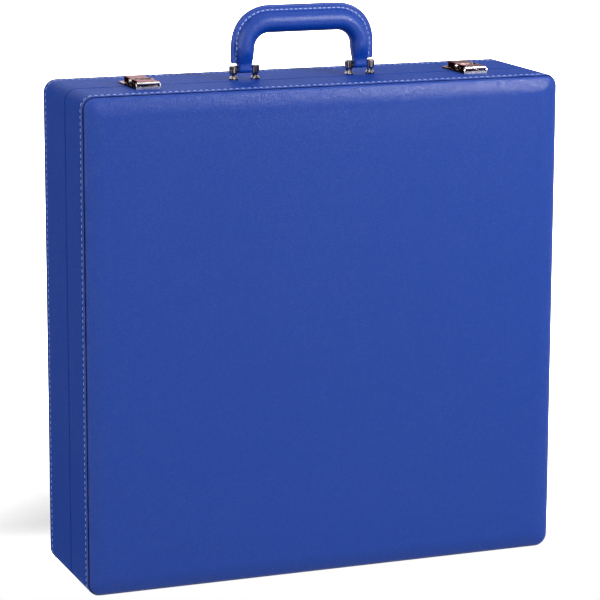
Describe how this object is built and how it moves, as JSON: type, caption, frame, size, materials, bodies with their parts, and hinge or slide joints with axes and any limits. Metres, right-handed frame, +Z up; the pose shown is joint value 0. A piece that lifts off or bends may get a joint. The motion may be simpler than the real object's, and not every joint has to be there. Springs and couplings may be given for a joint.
{
  "type": "chess box",
  "caption": "Upright attache-style chess box: padded, stitched leatherette shells that open on a lower-edge hinge, top carry handle, toggle latches and a slotted insert for chess pieces.",
  "frame": {"origin": "centre of the footprint, on the floor, with the case standing upright", "axes": "+X to the right along the width, +Y from the front face to the back, +Z up to the handle"},
  "size_m": [0.394, 0.115, 0.4486],
  "materials": {
    "blue_leatherette": "fine-grained blue leatherette, satin",
    "board_wood": "plain board, hidden",
    "panel_wood": "thin hardboard, hidden",
    "pad_filling": "soft wadding, hidden",
    "velvet": "short-pile blue velvet",
    "nickel": "polished nickel plate",
    "steel": "plain steel"
  },
  "bodies": {
    "base": {"base_wall_cover": "blue_leatherette", "base_back_cover": "blue_leatherette", "base_side_boards": "board_wood", "base_end_boards": "board_wood", "base_back_panel": "panel_wood", "insert_frame": "velvet", "insert_row_walls": "velvet", "insert_dividers": "velvet", "base_back_foam": "pad_filling", "insert_floor_pad": "velvet", "base_floor_lining": "velvet", "base_wall_lining": "velvet", "base_hinge_leaves": "nickel", "hinge_pins": "steel", "base_hinge_screws": "steel", "handle_nuts": "steel", "handle_washers": "steel", "handle_posts": "nickel", "latch_keepers": "nickel", "keeper_rivets": "nickel"},
    "lid": {"lid_wall_cover": "blue_leatherette", "lid_front_cover": "blue_leatherette", "lid_side_boards": "board_wood", "lid_end_boards": "board_wood", "lid_front_panel": "panel_wood", "lid_front_foam": "pad_filling", "lid_floor_lining": "velvet", "lid_wall_lining": "velvet", "lid_hinge_leaves": "nickel", "lid_hinge_screws": "steel", "latch_base_plates": "nickel", "latch_plate_rivets": "nickel"},
    "handle": {"handle_grip": "blue_leatherette", "handle_welt": "blue_leatherette", "handle_core": "steel", "handle_pivots": "steel"},
    "lever_left": {"latch_lever_left": "nickel", "latch_stubs_left": "steel", "latch_cross_pin_left": "steel"},
    "hasp_left": {"latch_hasp_left": "nickel"},
    "lever_right": {"latch_lever_right": "nickel", "latch_stubs_right": "steel", "latch_cross_pin_right": "steel"},
    "hasp_right": {"latch_hasp_right": "nickel"}
  },
  "joints": [
    {"name": "lid_hinge", "type": "hinge", "parent": "base", "child": "lid", "pos_m": [0, -0.007, 0.0028], "axis": [1, 0, 0], "range_deg": [0, 95]},
    {"name": "handle_hinge", "type": "hinge", "parent": "base", "child": "handle", "pos_m": [0, 0, 0.3985], "axis": [1, 0, 0], "range_deg": [-85, 85]},
    {"name": "lever_left", "type": "hinge", "parent": "lid", "child": "lever_left", "pos_m": [-0.137, -0.0104, 0.395], "axis": [-1, 0, 0], "range_deg": [0, 90]},
    {"name": "hasp_left", "type": "hinge", "parent": "lever_left", "child": "hasp_left", "pos_m": [-0.137, -0.0154, 0.3942], "axis": [-1, 0, 0], "range_deg": [-90, 0]},
    {"name": "lever_right", "type": "hinge", "parent": "lid", "child": "lever_right", "pos_m": [0.137, -0.0104, 0.395], "axis": [-1, 0, 0], "range_deg": [0, 90]},
    {"name": "hasp_right", "type": "hinge", "parent": "lever_right", "child": "hasp_right", "pos_m": [0.137, -0.0154, 0.3942], "axis": [-1, 0, 0], "range_deg": [-90, 0]}
  ],
  "couplings": [
    {"joint": "hasp_left", "follows": "lever_left", "ratio": -1},
    {"joint": "hasp_right", "follows": "lever_right", "ratio": -1}
  ]
}
